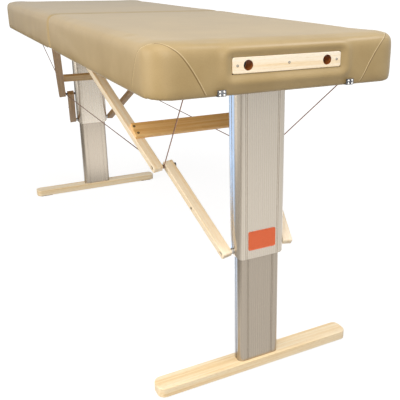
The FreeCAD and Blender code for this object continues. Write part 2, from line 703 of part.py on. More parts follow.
def braces():
    """Two-part folding braces: lower struts on the column, upper struts and a crossbar on the top."""
    lower = strut("lower_strut", "ankle", "ankle_y", "knee", "knee_in_y")
    both_halves("lower_struts", pair("lower_struts", lower))
    upper = strut("upper_strut", "knee", "knee_out_y", "hip", "hip_y")
    both_halves("upper_struts", pair("upper_struts", upper))
    both_halves("crossbar", solid_feature("crossbar", crossbar_shape()))

    reach = "(strut_wide / 2 + bolt_stand)"
    outer = "(-knee_out_y - bolt_bed - glide)"
    inner = f"(-knee_in_y + {reach})"
    shank = rod("knee_shank", "bolt_radius", "y", ("knee_x", outer, "knee_z"), f"{inner} - {outer}")
    head_start = ("knee_x", f"{outer} - bolt_head_tall", "knee_z")
    head = rod("knee_head", "bolt_head", "y", head_start, "bolt_head_tall")
    nut = rod("knee_nut", "bolt_head", "y", ("knee_x", inner, "knee_z"), "bolt_head_tall")
    both_halves("knee_bolts", pair("knee_bolts", fuse("knee_bolt", shank, head, nut)))

    outer = "(-ankle_y - bolt_bed - glide)"
    column_side = "(-tube_wide / 2 - glide)"
    shank_start = ("column_x", outer, "ankle_z")
    shank = rod("ankle_shank", "bolt_radius", "y", shank_start, f"{column_side} - {outer}")
    head_start = ("column_x", f"{outer} - bolt_head_tall", "ankle_z")
    head = rod("ankle_head", "bolt_head", "y", head_start, "bolt_head_tall")
    spacer_start = "(-ankle_y + strut_wide / 2 + bolt_stand / 2)"
    spacer_long = f"{column_side} - {spacer_start}"
    spacer = rod("ankle_spacer", "spacer_radius", "y", ("column_x", spacer_start, "ankle_z"), spacer_long)
    both_halves("ankle_studs", pair("ankle_studs", fuse("ankle_stud", shank, head, spacer)))

    rail_depth = f"(-{RAIL_INSIDE} - hip_bolt_depth)"
    inner = f"(-hip_y + {reach})"
    shank = rod("hip_shank", "bolt_radius", "y", ("hip_x", rail_depth, "hip_z"), f"{inner} - {rail_depth}")
    head = rod("hip_head", "bolt_head", "y", ("hip_x", inner, "hip_z"), "bolt_head_tall")
    collar_long = f"{RAIL_INSIDE} - hip_y - strut_wide / 2 - hip_collar_gap"
    collar = rod("hip_collar", "spacer_radius", "y", ("hip_x", f"-{RAIL_INSIDE}", "hip_z"), collar_long)
    both_halves("brace_pins", pair("brace_pins", fuse("brace_pin", shank, head, collar)))


def cable_shape():
    """One side's cable: anchor to knee, under the knee bolt, on to the far knee and the far anchor."""
    radius = mm("cable_radius")
    wrap = mm("bolt_radius + cable_radius + glide")
    knee = pivot("knee") - Y_AXIS * mm("cable_knee_y")
    ball = Vector(mm(f"{END_INSIDE} - anchor_reach"), -mm("anchor_y"), mm("anchor_z"))
    run = ball - knee
    flat = math.hypot(run.x, run.z)
    turn = math.atan2(run.z, run.x) - math.acos(wrap / flat)
    touch = knee + Vector(math.cos(turn), 0, math.sin(turn)) * wrap
    back = (touch - ball).normalize()
    start = ball + back * mm("anchor_ball + glide")
    low = knee - Z_AXIS * wrap
    disc = Part.Face(Part.Wire(Part.Circle(low, X_AXIS, radius).toShape()))
    bend = disc.revolve(knee, Y_AXIS, -math.degrees(turn + math.pi / 2))
    side = Part.makeCylinder(radius, start.distanceToPoint(touch), start, back)
    half = side.fuse([Part.makeSphere(radius, touch), bend, Part.makeCylinder(radius, low.x, low, -X_AXIS)])
    return half.fuse(half.mirror(Vector(), X_AXIS)).removeSplitter()


def cables():
    """Anchors on the end rails and a steel cable along each side."""
    ball_x = f"({END_INSIDE} - anchor_reach)"
    shank = rod("anchor_shank_rod", "anchor_shank", "x", (ball_x, "-anchor_y", "anchor_z"), "anchor_reach")
    ball = doc.addObject("Part::Sphere", "anchor_sphere")
    ball.Placement = FreeCAD.Placement(Vector(), FreeCAD.Rotation(Z_AXIS, 90))
    ball.setExpression("Radius", bound("anchor_ball"))
    ball.setExpression("Placement.Base.x", bound(ball_x))
    ball.setExpression("Placement.Base.y", bound("-anchor_y"))
    ball.setExpression("Placement.Base.z", bound("anchor_z"))
    both_halves("cable_anchors", pair("cable_anchors", fuse("anchor", shank, ball)))
    front = solid_feature("front_cable", cable_shape())
    node("front_cable", front)
    node("back_cable", mirrored(front, Y_AXIS))


def fold_hinges():
    """Two butt hinges under the fold rails: interleaved knuckles on one pin each."""
    axis_z = f"({UNDERSIDE} - barrel_drop)"
    leaf_low = f"({UNDERSIDE} - leaf_thick)"
    leaf_start = "(barrel_radius + glide)"
    first = "(-hinge_y - hinge_wide / 2)"
    knuckles = 5
    leaf_across = centred("-hinge_y", "hinge_wide")
    leaf = block("leaf_plate", (leaf_start, "leaf_run"), leaf_across, (leaf_low, UNDERSIDE))
    near_teeth = [leaf]
    far_teeth = [mirrored(leaf, X_AXIS)]
    for index in range(knuckles):
        low = f"({first} + hinge_wide * {index} / {knuckles} + glide / 2)"
        span = f"(hinge_wide / {knuckles} - glide)"
        barrel = rod(f"barrel_{index}", "barrel_radius", "y", ("0", low, axis_z), span)
        across = (low, f"{low} + {span}")
        if index % 2 == 0:
            web = block(f"web_{index}", ("0", f"{leaf_start} + leaf_thick"), across, (leaf_low, UNDERSIDE))
            near_teeth += [barrel, web]
        else:
            web = block(f"web_{index}", (f"-{leaf_start} - leaf_thick", "0"), across, (leaf_low, UNDERSIDE))
            far_teeth += [barrel, web]
    start = ("0", first, axis_z)
    bore = rod("barrel_bore", "hinge_pin + pivot_gap", "y", start, "hinge_wide")
    pin = rod("fold_pin", "hinge_pin", "y", start, "hinge_wide")
    node("near_fold_leaves", pair("near_fold_leaves", cut(fuse("near_leaf", *near_teeth), bore)))
    node("far_fold_leaves", pair("far_fold_leaves", cut(fuse("far_leaf", *far_teeth), bore)))
    node("fold_pins", pair("fold_pins", pin))


def control_box():
    """Control box under the near deck: case, cover and a mains inlet let into the cover."""
    low = f"({RAIL_TOP} - box_tall)"
    along = ("box_x", "box_x + box_long")
    across = centred("0", "box_wide")
    case = upright("case_blank", "box_round", along, across, (f"{low} + box_wall", RAIL_TOP))
    hollow = upright(
        "case_hollow",
        "box_round - box_wall",
        ("box_x + box_wall", "box_x + box_long - box_wall"),
        centred("0", "box_wide - 2 * box_wall"),
        (f"{low} + box_wall", f"{RAIL_TOP} - box_wall"),
    )
    node("control_case", cut(case, hollow))
    inlet_along = centred("(box_x + box_long / 2)", "inlet_long")
    inlet_across = centred("0", "inlet_wide")
    cover = upright("cover_blank", "box_round", along, across, (low, f"{low} + box_wall"))
    window = block("cover_window", inlet_along, inlet_across, (low, f"{low} + box_wall"))
    node("control_cover", cut(cover, window))

    body = block("inlet_body", inlet_along, inlet_across, (low, f"{low} + inlet_deep"))
    rim = block(
        "inlet_rim_blank",
        centred("(box_x + box_long / 2)", "inlet_long + 2 * inlet_rim"),
        centred("0", "inlet_wide + 2 * inlet_rim"),
        (f"{low} - inlet_rim / 2", low),
    )
    socket = block(
        "inlet_socket",
        centred("(box_x + box_long / 2)", "inlet_long - 2 * inlet_rim"),
        centred("0", "inlet_wide - 2 * inlet_rim"),
        (f"{low} - inlet_rim / 2", f"{low} + inlet_deep - inlet_rim"),
    )
    node("mains_inlet", cut(fuse("inlet", body, rim), socket))


top_half()
face_rest()
catches()
columns()
column_brackets()
lifts()
braces()
cables()
fold_hinges()
control_box()
doc.recompute()

for item in doc.Objects:
    if "Invalid" in item.State or "Error" in item.State:
        raise RuntimeError(f"{item.Name} failed: {item.State}")
for label, item in parts.items():
    if item.Shape.isNull() or not item.Shape.isValid():
        raise RuntimeError(f"{label} has no valid shape")
os.makedirs("parts", exist_ok=True)
for label, item in parts.items():
    item.Shape.exportStep(f"parts/{label}.step")
print(len(parts), "parts written")
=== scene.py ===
"""Dresses the folding massage table: upholstery, stay cables, fittings, finishes and studio."""
import json
import math
import bmesh
import bpy
from mathutils import Matrix, Vector


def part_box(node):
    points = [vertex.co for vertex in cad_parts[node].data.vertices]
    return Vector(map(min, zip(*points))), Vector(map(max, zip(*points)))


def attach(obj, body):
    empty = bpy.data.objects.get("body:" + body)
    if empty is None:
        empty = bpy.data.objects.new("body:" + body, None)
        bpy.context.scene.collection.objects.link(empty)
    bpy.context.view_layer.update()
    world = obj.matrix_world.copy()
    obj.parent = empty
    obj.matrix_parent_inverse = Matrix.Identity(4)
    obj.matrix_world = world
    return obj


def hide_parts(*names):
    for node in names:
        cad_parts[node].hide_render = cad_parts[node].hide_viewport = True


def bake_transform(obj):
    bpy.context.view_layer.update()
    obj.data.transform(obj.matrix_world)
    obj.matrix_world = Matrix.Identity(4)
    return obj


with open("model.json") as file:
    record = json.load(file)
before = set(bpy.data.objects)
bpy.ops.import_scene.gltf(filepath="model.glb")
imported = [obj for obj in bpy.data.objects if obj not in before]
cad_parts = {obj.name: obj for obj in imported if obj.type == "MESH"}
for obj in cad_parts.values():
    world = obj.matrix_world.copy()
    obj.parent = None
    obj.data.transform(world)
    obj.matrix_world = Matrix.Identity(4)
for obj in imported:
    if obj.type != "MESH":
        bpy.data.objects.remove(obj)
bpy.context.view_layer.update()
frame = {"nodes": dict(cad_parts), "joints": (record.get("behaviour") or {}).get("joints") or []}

NODES = frame["nodes"]
HINGES = [joint for joint in frame["joints"] if joint["type"] == "hinge"]
JOINT_PLACE = {hinge["name"]: Vector(hinge["pos_m"]) for hinge in HINGES}
HALVES = {"near": 1, "far": -1}  # the way each half points along X
MM = 0.001

# Upholstery
CORNER_ROUND = 62 * MM
EDGE_ROUND = 18 * MM
FOLD_EDGE_ROUND = 7 * MM
FRAME_CORNER_ROUND = 45 * MM
SIDE_SWELL = 1.5 * MM
TOP_SWELL = 3 * MM
CORNER_PUFF = 3 * MM
CORNER_PUFF_REACH = 130 * MM
FOAM_GIVE = 0.3 * MM
SWELL_FRAMES = 20
HEM_RISE = 12 * MM
HEM_TUCK = 2 * MM
HEM_DROP = 4 * MM
WEAVE_STEP = 8 * MM
FRAME_GAP = 0.4 * MM
BOARD_GAP = 0.8 * MM
BOARD_DIP = 3 * MM
BOARD_ROLL = 6 * MM
BOARD_ROLL_REACH = 34 * MM
CATCH_DIP = 2 * MM
CATCH_ROLL_REACH = 26 * MM
CATCH_WIDE = 20 * MM
CATCH_STUD_RADIUS = 2.4 * MM
STUD_FLATNESS = 0.45  # height of a stud as a share of its radius
SEAM_REACH = 112 * MM
SEAM_RISE = 124 * MM
SEAM_BEAD = 1.2 * MM
SEAM_CREASE = 1.6 * MM
CREASE_ALONG = -2.7 * MM
CREASE_RISE = -0.9 * MM
BEAD_SINK = 0.6 * SEAM_BEAD
CREASE_SINK = 0.7 * SEAM_CREASE
SEAM_ARCH = 1.9  # power of the seam's outline: 2 would be a parabola
SEAM_STEPS = 48

# Stay cables
CABLE_RADIUS = 1.5 * MM
CABLE_WRAP = 5.8 * MM
CABLE_KNEE_Y = 161.3 * MM
FOLD_SPAN = 250 * MM
FERRULE_RADIUS = 3.2 * MM
FERRULE_LONG = 16 * MM
FERRULE_EASE = 0.8 * MM
FERRULE_FROM_ANCHOR = 15 * MM

# Struts and boards: middle of each strut from the centre line, and what carries screws
HIP_UPPER_Y = 279 * MM
KNEE_UPPER_Y = 180 * MM
KNEE_LOWER_Y = 144 * MM
ANKLE_LOWER_Y = 92 * MM
STRUT_WIDE = 28 * MM
CROSSBAR_THICK = 10 * MM
CROSSBAR_SCREW_SPACING = 26 * MM
BOARD_SCREW_INSET = 12 * MM

# Screw heads: a crowned disc with a round socket
SCREW_RADIUS = 3.6 * MM
BOARD_SCREW_RADIUS = 2.7 * MM
SCREW_TALL = 1.2 * MM
SCREW_EDGE = 0.5 * MM
SCREW_CROWN = 0.3 * MM
SOCKET_RADIUS = 1.5 * MM
SOCKET_WALL = 0.2 * MM
SOCKET_DEEP = 1.0 * MM

# Bores for the face rest
BORE_PLACE = Vector((0, 102, 864)) * MM
BORE_RADIUS = 11.5 * MM
BORE_DEEP = 31 * MM
BORE_SETBACK = 1 * MM
LINING_GAP = 0.1 * MM

# Plate on the near column
BADGE_SIZE = Vector((1.4, 79, 52)) * MM
BADGE_HEIGHT = 393 * MM
BADGE_ROUND = 4 * MM
BADGE_RIM = 1.2 * MM
BADGE_STEP = 0.4 * MM
BADGE_DIP = 0.5 * MM

# Camera: place and turn matched to the photograph's frame of 400 by 400
CAMERA_PLACE = Vector((2.149932, -0.715337, 1.048717))
CAMERA_YAW = 2.627884
CAMERA_PITCH = -0.317159
CAMERA_ROLL = 0.008947
CAMERA_LENS = 54.818
CAMERA_SHIFT = (-0.15631, -0.06516)

# Lamps: place, aim, power in watts, size in metres, colour
LAMPS = {
    "key_lamp": ((3.0, -1.2, 1.7), (0.8, 0, 0.5), 43, 1.6, "#FFF4E6"),
    "edge_lamp": ((1.7, 1.3, 2.75), (0.95, 0, 0.85), 30, 1.0, "#F6F8FF"),
    "top_lamp": ((1.5, -1.4, 3.2), (0.3, 0, 0.7), 34, 2.2, "#FFFCF4"),
    "window_lamp": ((0.3, -3.0, 1.4), (0.4, 0, 0.5), 46, 2.0, "#FFF6EA"),
}
SOFTBOX_AIM = Vector((0.86, -0.07, 0.45))
SOFTBOX_SIDE = Vector((-0.85, -0.43, -0.3))
SOFTBOX_AWAY = 0.2
SOFTBOX_WIDE = 0.25
SOFTBOX_TALL = 0.9
SOFTBOX_POWER = 0.13
SOFTBOX_SPREAD = 50

# Studio: brightness of the surround and the floor, distances in metres
SURROUND_LIGHT = 0.26
FLOOR_SIZE = 80
FLOOR_DROP = 0.5 * MM
FLOOR_NEAR, FLOOR_NEAR_GLOW = 1.0, 0.82
FLOOR_FAR, FLOOR_FAR_GLOW = 3.0, 1.0
# Painted reflection in the metal: the floor's glow in reflections only, dim in a lane and bright in
# a pool
LANE_Y = -1.3
LANE_INNER, LANE_OUTER, LANE_SHEEN = 0.6, 1.0, 0.75
POOL_MIDDLE = (0, 0.4, 0)
POOL_INNER, POOL_OUTER, POOL_SHEEN = 0.55, 0.8, 1.0


def clear_selection():
    """Nothing selected and nothing in edit mode."""
    if bpy.context.mode != "OBJECT":
        bpy.ops.object.mode_set(mode="OBJECT")
    bpy.ops.object.select_all(action="DESELECT")


def activate(piece):
    """The piece alone is selected."""
    clear_selection()
    piece.select_set(True)
    bpy.context.view_layer.objects.active = piece


def edit(piece, mode, chosen):
    """Opens the piece with only the vertices, edges or faces that chosen accepts selected."""
    activate(piece)
    bpy.ops.object.mode_set(mode="EDIT")
    bpy.ops.mesh.select_mode(type=mode)
    bpy.ops.mesh.select_all(action="DESELECT")
    mesh = bmesh.from_edit_mesh(piece.data)
    items = {"VERT": mesh.verts, "EDGE": mesh.edges, "FACE": mesh.faces}[mode]
    for item in items:
        item.select_set(chosen(item))
    bmesh.update_edit_mesh(piece.data)


def leave():
    bpy.ops.object.mode_set(mode="OBJECT")


def apply_modifier(piece, kind, **settings):
    """Adds a modifier with its settings and applies it."""
    activate(piece)
    modifier = piece.modifiers.new(kind.lower(), kind)
    for name, value in settings.items():
        setattr(modifier, name, value)
    bpy.ops.object.modifier_apply(modifier=modifier.name)


def box_piece(name, low, high):
    """A box between two corners, with its place in its mesh."""
    clear_selection()
    low = Vector(low)
    high = Vector(high)
    bpy.ops.mesh.primitive_cube_add(size=1, location=(low + high) / 2, scale=high - low)
    bpy.ops.object.transform_apply(location=True, rotation=True, scale=True)
    piece = bpy.context.object
    piece.name = name
    return piece


def is_upright(edge):
    """True for an edge along Z."""
    along = edge.verts[1].co - edge.verts[0].co
    return abs(along.z) > 0.9 * along.length


def middle_of(edge):
    return (edge.verts[0].co + edge.verts[1].co) / 2


def smooth_shaded(piece, degrees=40):
    activate(piece)
    bpy.ops.object.shade_smooth_by_angle(angle=math.radians(degrees))


def mirrored_copy(piece, name, axis):
    """A copy on the other side of the plane through the origin, facing outwards."""
    activate(piece)
    bpy.ops.object.duplicate()
    copy = bpy.context.object
    copy.name = name
    copy.data.transform(Matrix.Scale(-1, 4, axis))
    edit(copy, "FACE", lambda face: True)
    bpy.ops.mesh.flip_normals()
    leave()
    return copy


def cushion_blank():
    """Block of the near half, a little small, with round outer corners and a rounded top edge."""
    low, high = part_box("near_pad")
    overrun = 2 * EDGE_ROUND
    blank_low = Vector((low.x - overrun, low.y + SIDE_SWELL, low.z))
    blank_high = Vector((high.x - SIDE_SWELL, high.y - SIDE_SWELL, high.z - SIDE_SWELL - TOP_SWELL))
    blank = box_piece("near_cushion", blank_low, blank_high)
    end = blank_high.x
    top = blank_high.z
    edit(blank, "EDGE", lambda edge: is_upright(edge) and middle_of(edge).x > end - MM)
    bpy.ops.mesh.bevel(offset=CORNER_ROUND, segments=10, affect="EDGES")
    leave()
    fold_end = blank_low.x

    def rim(edge):
        flat = all(abs(vertex.co.z - top) < MM for vertex in edge.verts)
        at_fold = all(abs(vertex.co.x - fold_end) < MM for vertex in edge.verts)
        return flat and not at_fold

    edit(blank, "EDGE", rim)
    bpy.ops.mesh.bevel(offset=EDGE_ROUND, segments=8, affect="EDGES")
    bpy.ops.mesh.select_all(action="SELECT")
    bpy.ops.mesh.bisect(
        plane_co=(low.x, 0, 0), plane_no=(1, 0, 0), use_fill=True, clear_inner=True
    )
    leave()

    def fold_rim(edge):
        at_fold = all(abs(vertex.co.x - low.x) < 0.1 * MM for vertex in edge.verts)
        return at_fold and middle_of(edge).z > top - EDGE_ROUND + MM

    edit(blank, "EDGE", fold_rim)
    bpy.ops.mesh.bevel(offset=FOLD_EDGE_ROUND, segments=3, affect="EDGES")
    leave()
    apply_modifier(blank, "REMESH", mode="VOXEL", voxel_size=WEAVE_STEP)
    return blank


def held(vertex, low):
    """True where the cover is stapled to the frame: the hem, the underside and the fold face."""
    return vertex.co.z < low.z + HEM_RISE / 2 or vertex.co.x < low.x + FOLD_EDGE_ROUND / 2


def swell(cushion):
    """Foam pressing the cover out, held at the hem; each point stays in the room left for it."""
    low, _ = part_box("near_pad")
    start = [(vertex.co.copy(), vertex.normal.copy()) for vertex in cushion.data.vertices]
    hem = cushion.vertex_groups.new(name="hem")
    hem.add([vertex.index for vertex in cushion.data.vertices if held(vertex, low)], 1.0, "REPLACE")
    modifier = cushion.modifiers.new("swell", "CLOTH")
    cloth = modifier.settings
    cloth.quality = 4
    cloth.mass = 0.4
    cloth.tension_stiffness = 25
    cloth.compression_stiffness = 25
    cloth.bending_stiffness = 2
    cloth.use_pressure = True
    cloth.uniform_pressure_force = 4
    cloth.vertex_group_mass = hem.name
    cloth.effector_weights.gravity = 0
    for step in range(1, SWELL_FRAMES + 1):
        bpy.context.scene.frame_set(step)
    activate(cushion)
    bpy.ops.object.modifier_apply(modifier=modifier.name)
    bpy.context.scene.frame_set(1)
    cushion.vertex_groups.clear()
    for vertex, (place, outward) in zip(cushion.data.vertices, start):
        room = SIDE_SWELL + TOP_SWELL * max(0, outward.z)
        move = (vertex.co - place).dot(outward)
        vertex.co = place + outward * max(-FOAM_GIVE, min(room, move))


def facing_of(piece):
    """The way each vertex faces, before any of them moves."""
    return [vertex.normal.copy() for vertex in piece.data.vertices]


def relax(cushion):
    """Evens the cover out off its held edges, draws the hem in and plumps the outer corners."""
    low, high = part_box("near_pad")
    edit(cushion, "VERT", lambda vertex: not held(vertex, low))
    bpy.ops.mesh.vertices_smooth(factor=0.5, repeat=5)
    leave()
    for vertex, normal in zip(cushion.data.vertices, facing_of(cushion)):
        near_hem = max(0, 1 - (vertex.co.z - low.z) / HEM_RISE)
        outward = Vector((normal.x, normal.y, 0))
        if vertex.co.x > low.x + CORNER_ROUND:
            vertex.co -= outward * HEM_TUCK * near_hem ** 2
            vertex.co.z -= HEM_DROP * near_hem
        corner = math.hypot(high.x - vertex.co.x, high.y - abs(vertex.co.y)) / CORNER_PUFF_REACH
        vertex.co.z += CORNER_PUFF * max(0, 1 - corner) * max(0, normal.z)
        vertex.co.x = min(max(vertex.co.x, low.x), high.x - 0.2 * MM)


def press(cushion, low, high, depth, rise, reach):
    """Draws the end of the cover in under a fitting screwed to it, with a soft roll round that."""
    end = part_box("near_pad")[1].x
    for vertex, normal in zip(cushion.data.vertices, facing_of(cushion)):
        if vertex.co.x < end - EDGE_ROUND:
            continue
        beside = max(low.y - vertex.co.y, 0, vertex.co.y - high.y)
        above = max(low.z - vertex.co.z, 0, vertex.co.z - high.z)
        away = min(1, math.hypot(beside, above) / reach)
        facing = max(0, normal.x)
        vertex.co.x += facing * (rise * math.sin(math.pi * away) ** 2 - depth * (1 - away) ** 3)


def carve(cushion, tool):
    """Takes the tool's room out of the cushion."""
    apply_modifier(cushion, "BOOLEAN", operation="DIFFERENCE", solver="MANIFOLD", object=tool)
    bpy.data.objects.remove(tool)


def frame_room(half):
    """Room for the deck and rails of one half inside its cushion."""
    low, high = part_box(half + "_deck")
    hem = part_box(half + "_pad")[0].z - HEM_RISE
    grown = Vector((FRAME_GAP, FRAME_GAP, FRAME_GAP))
    room = box_piece("room", Vector((low.x, low.y, hem)) - grown, high + grown)
    outer = high.x if half == "near" else low.x

    def outer_corner(edge):
        return is_upright(edge) and abs(middle_of(edge).x - outer) < CORNER_ROUND

    edit(room, "EDGE", outer_corner)
    bpy.ops.mesh.bevel(offset=FRAME_CORNER_ROUND, segments=10, affect="EDGES")
    leave()
    return room


def cushions():
    """The upholstered top of both halves, each hollow where its frame sits."""
    near = cushion_blank()
    swell(near)
    relax(near)
    far = mirrored_copy(near, "far_cushion", Vector((1, 0, 0)))
    board_low, board_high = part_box("face_rest_board")
    press(near, board_low, board_high, BOARD_DIP, BOARD_ROLL, BOARD_ROLL_REACH)
    catch_low, catch_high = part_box("near_catches")
    for catch_y in (catch_low.y, catch_high.y - CATCH_WIDE):
        low = Vector((0, catch_y, catch_low.z))
        high = Vector((0, catch_y + CATCH_WIDE, catch_high.z))
        press(near, low, high, CATCH_DIP, 0, CATCH_ROLL_REACH)
    for half, cushion in zip(HALVES, (near, far)):
        apply_modifier(cushion, "SUBSURF", levels=1, render_levels=1)
        carve(cushion, frame_room(half))
        if half == "near":
            gap = Vector((0, BOARD_GAP, BOARD_GAP))
            mouth = Vector((EDGE_ROUND, 0, 0))
            carve(cushion, box_piece("pocket", board_low - gap, board_high + gap + mouth))
        smooth_shaded(cushion, 50)
        finish_piece(cushion, half + "_panel", UPHOLSTERY)
        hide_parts(half + "_pad")
    return near, far


def tube_piece(name, runs, materials):
    """A mesh tube along each run of points; a run is (points, radius, material index)."""
    clear_selection()
    curve = bpy.data.curves.new(name, "CURVE")
    curve.dimensions = "3D"
    curve.bevel_depth = 1.0
    curve.bevel_resolution = 2
    curve.use_fill_caps = True
    for material in materials:
        curve.materials.append(material)
    for points, radius, index in runs:
        spline = curve.splines.new("POLY")
        spline.points.add(len(points) - 1)
        spline.material_index = index
        for place, point in zip(points, spline.points):
            point.co = (*place, 1)
            point.radius = radius
    piece = bpy.data.objects.new(name, curve)
    bpy.context.scene.collection.objects.link(piece)
    activate(piece)
    bpy.ops.object.convert(target="MESH")
    piece = bpy.context.object
    smooth_shaded(piece, 60)
    return piece


def seam_place(along, rise, end, side, low):
    """Point of an outer corner: along its outline from the diagonal, then up and over the edge."""
    quarter = CORNER_ROUND * math.pi / 4
    turn = max(-quarter, min(quarter, along)) / CORNER_ROUND + math.pi / 4
    straight = along - max(-quarter, min(quarter, along))
    outward = Vector((math.sin(turn), math.cos(turn), 0))
    place = Vector((end - CORNER_ROUND, side - CORNER_ROUND, low.z)) + outward * CORNER_ROUND
    if straight > 0:
        place.y -= straight
    else:
        place.x += straight
    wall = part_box("near_pad")[1].z - TOP_SWELL - EDGE_ROUND - low.z
    over = min(math.pi / 2, max(0, rise - wall) / EDGE_ROUND)
    place.z += min(rise, wall) + EDGE_ROUND * math.sin(over)
    on_top = max(0, rise - wall - EDGE_ROUND * math.pi / 2)
    return place - outward * (EDGE_ROUND * (1 - math.cos(over)) + on_top)


def corner_seams(near, far):
    """The arched seam of each outer corner's panel: a bead in a paler tone, a painted highlight,
    beside a crease in a darker tone, painted shade.
    """
    low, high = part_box("near_pad")
    for (half, forward), cushion in zip(HALVES.items(), (near, far)):
        for hand, across in (("left", -1), ("right", 1)):
            bead = []
            crease = []
            lines = ((bead, 0, 0, BEAD_SINK), (crease, CREASE_ALONG, CREASE_RISE, CREASE_SINK))
            for step in range(SEAM_STEPS + 1):
                along = SEAM_REACH * (2 * step / SEAM_STEPS - 1)
                rise = SEAM_RISE * (1 - abs(along / SEAM_REACH) ** SEAM_ARCH) + SEAM_BEAD
                for line, aside, lift, sink in lines:
                    place = seam_place(along + aside, rise + lift, high.x, high.y, low)
                    place = Vector((place.x * forward, place.y * across, place.z))
                    _, surface, normal, _ = cushion.closest_point_on_mesh(place)
                    line.append(surface - normal * sink)
            # The bead takes the painted highlight and the crease the painted shade
            runs = ((bead, SEAM_BEAD, 0), (crease, SEAM_CREASE, 1))
            seam = tube_piece(f"{half}_{hand}_corner_seam", runs, (SEAM_HIGHLIGHT, SEAM_SHADE))
            finish_piece(seam, half + "_panel")


def cable_points(half, across):
    """Anchor, wrap under the knee bolt and level run of one stay cable, for one half."""
    forward = HALVES[half]
    knee = JOINT_PLACE[half + "_lower_brace_fold"]
    low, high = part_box(half + "_cable_anchors")
    ball = (high.z - low.z) / 2
    anchor_x = low.x + ball if half == "near" else high.x - ball
    anchor_y = (high.y - ball) * across
    anchor = Vector((anchor_x, anchor_y, (low.z + high.z) / 2))
    run = (anchor.x - knee.x) * forward
    rise = anchor.z - knee.z
    reach = math.hypot(run, rise)
    climb = math.atan2(rise, run) - math.asin(CABLE_WRAP / reach)
    wrap = []
    steps = 6
    for step in range(steps + 1):
        turn = climb * (1 - step / steps)
        offset = Vector((math.sin(turn) * forward, 0, -math.cos(turn))) * CABLE_WRAP
        wrap.append(Vector((knee.x, CABLE_KNEE_Y * across, knee.z)) + offset)
    level = Vector((FOLD_SPAN * forward, CABLE_KNEE_Y * across, knee.z - CABLE_WRAP))
    return anchor, wrap, level


def divided(start, finish, count):
    """Evenly spaced points from start to finish."""
    return [start.lerp(finish, step / count) for step in range(count + 1)]


def ferrule(name, anchor, towards):
    """Crimped sleeve on the cable next to its anchor."""
    clear_selection()
    along = (towards - anchor).normalized()
    bpy.ops.mesh.primitive_cylinder_add(vertices=20, radius=FERRULE_RADIUS, depth=FERRULE_LONG)
    piece = bpy.context.object
    piece.name = name
    edit(piece, "EDGE", lambda edge: not is_upright(edge))
    bpy.ops.mesh.bevel(offset=FERRULE_EASE, segments=2, affect="EDGES")
    leave()
    turn = along.to_track_quat("Z", "X").to_matrix().to_4x4()
    piece.data.transform(Matrix.Translation(anchor + along * FERRULE_FROM_ANCHOR) @ turn)
    smooth_shaded(piece)
    return piece


def cable_piece(name, points):
    """One length of the steel cable."""
    return tube_piece(name, ((points, CABLE_RADIUS, 0),), (CABLE,))


def stay_cables():
    """Steel cables from each end of the top, under the knees and level below the fold."""
    for side, across in (("front", -1), ("back", 1)):
        levels = []
        for half in HALVES:
            panel = half + "_panel"
            anchor, wrap, level = cable_points(half, across)
            levels.append(level)
            stay_points = divided(anchor, wrap[0], 12) + wrap[1:]
            stay = cable_piece(f"{half}_{side}_stay", stay_points)
            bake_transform(stay)
            run_points = divided(wrap[-1], level, 12)
            run = cable_piece(f"{half}_{side}_level_run", run_points)
            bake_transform(run)
            sleeve = ferrule(f"{half}_{side}_ferrule", anchor, wrap[0])
            finish_piece(sleeve, panel, ZINC)
        middle_points = divided(levels[0], levels[1], 16)
        middle = cable_piece(f"{side}_fold_run", middle_points)
        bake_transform(middle)
        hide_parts(side + "_cable")


def screws(name, places, outward, radius=SCREW_RADIUS):
    """Crowned screw heads with a round socket, one at each place, facing outwards."""
    heads = []
    turn = outward.to_track_quat("Z", "Y").to_matrix().to_4x4()
    for place in places:
        clear_selection()
        bpy.ops.mesh.primitive_cylinder_add(vertices=24, radius=radius, depth=SCREW_TALL)
        head = bpy.context.object
        edit(head, "FACE", lambda face: face.normal.z > 0.9)
        bpy.ops.mesh.inset(thickness=SCREW_EDGE, depth=SCREW_CROWN)
        bpy.ops.mesh.inset(thickness=radius - SCREW_EDGE - SOCKET_RADIUS, depth=0)
        bpy.ops.mesh.inset(thickness=SOCKET_WALL, depth=-SOCKET_DEEP)
        leave()
        head.data.transform(Matrix.Translation(place) @ turn)
        heads.append(head)
    group = joined(name, heads)
    smooth_shaded(group, 30)
    return group


def crossbar_screws():
    """Two screws through the crossbar into each upper strut."""
    for half, forward in HALVES.items():
        hip = JOINT_PLACE[half + "_upper_brace_fold"]
        knee = JOINT_PLACE[half + "_lower_brace_fold"]
        down = Vector((knee.x - hip.x, 0, knee.z - hip.z)).normalized()
        outward = Vector((-down.z * forward, 0, down.x * forward))
        low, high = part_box(half + "_crossbar")
        face = (low + high) / 2 + outward * CROSSBAR_THICK / 2
        places = []
        for across in (-1, 1):
            for shift in (-CROSSBAR_SCREW_SPACING / 2, CROSSBAR_SCREW_SPACING / 2):
                from_knee = (face - Vector((knee.x, 0, knee.z))).dot(-down) - shift
                share = from_knee / (knee - hip).length
                strut_y = KNEE_UPPER_Y + (HIP_UPPER_Y - KNEE_UPPER_Y) * share
                places.append(face + down * shift + Vector((0, strut_y * across, 0)))
        heads = screws(half + "_crossbar_screws", places, outward)
        finish_piece(heads, half + "_upper_brace", DARK_BOLT)


def board_screws():
    """Three screws that hold the face-rest board to the end rail."""
    low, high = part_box("face_rest_board")
    height = (low.z + high.z) / 2
    reach = high.y - BOARD_SCREW_INSET
    places = [Vector((high.x, across * reach, height)) for across in (-1, 0, 1)]
    heads = screws("face_rest_screws", places, Vector((1, 0, 0)), BOARD_SCREW_RADIUS)
    finish_piece(heads, "near_panel", MOTOR_STEEL)


